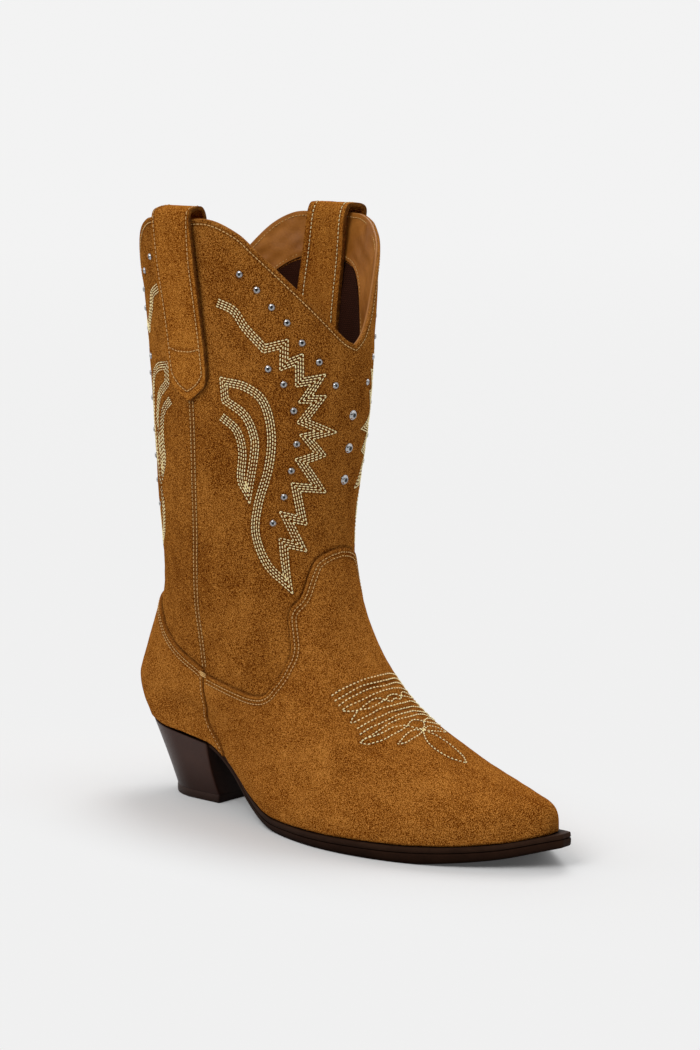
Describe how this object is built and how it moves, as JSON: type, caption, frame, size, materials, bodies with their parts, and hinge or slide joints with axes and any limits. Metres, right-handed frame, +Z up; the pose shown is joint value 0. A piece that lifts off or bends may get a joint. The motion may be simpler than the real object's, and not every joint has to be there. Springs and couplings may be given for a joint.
{
  "type": "cowboy boot",
  "caption": "Right-foot western pull-on boot in tan suede with a scalloped shaft, pull straps, studs, pointed toe and an underslung heel.",
  "frame": {"origin": "centre of the bounding box's footprint, on the ground plane that the heel and the ball of the sole rest on", "axes": "+Z up, +X from heel to toe, +Y to the inner side of the foot"},
  "size_m": [0.2777, 0.1292, 0.3131],
  "materials": {
    "suede": "tan suede with a short, mottled nap",
    "facing_leather": "smooth tan leather, slightly creased",
    "lining_textile": "dark brown woven lining",
    "stiffener": "thermoplastic stiffener sheet",
    "board": "fibreboard insole",
    "cork": "ground cork filler",
    "sole": "dark brown sole, satin edge",
    "heel": "dark brown heel, polished",
    "top_lift": "dark brown hard rubber, matt",
    "studs": "silver domed studs, lightly worn",
    "steel": "plain steel"
  },
  "bodies": {
    "root": {"front_shaft_panel": "suede", "back_shaft_panel": "suede", "vamp": "suede", "heel_counter": "suede", "outer_pull_strap": "suede", "inner_pull_strap": "suede", "small_studs": "studs", "large_studs": "studs", "front_top_facing": "facing_leather", "back_top_facing": "facing_leather", "front_shaft_lining": "lining_textile", "back_shaft_lining": "lining_textile", "vamp_lining": "lining_textile", "heel_lining": "facing_leather", "toe_puff": "stiffener", "heel_stiffener": "stiffener", "vamp_interlining": "lining_textile", "sock_liner": "facing_leather", "insole_board": "board", "shank": "steel", "cork_filler": "cork", "welt": "sole", "outsole": "sole", "heel_block": "heel", "heel_screw": "steel", "heel_nails": "steel", "top_lift": "top_lift", "top_lift_pins": "steel"}
  },
  "joints": []
}
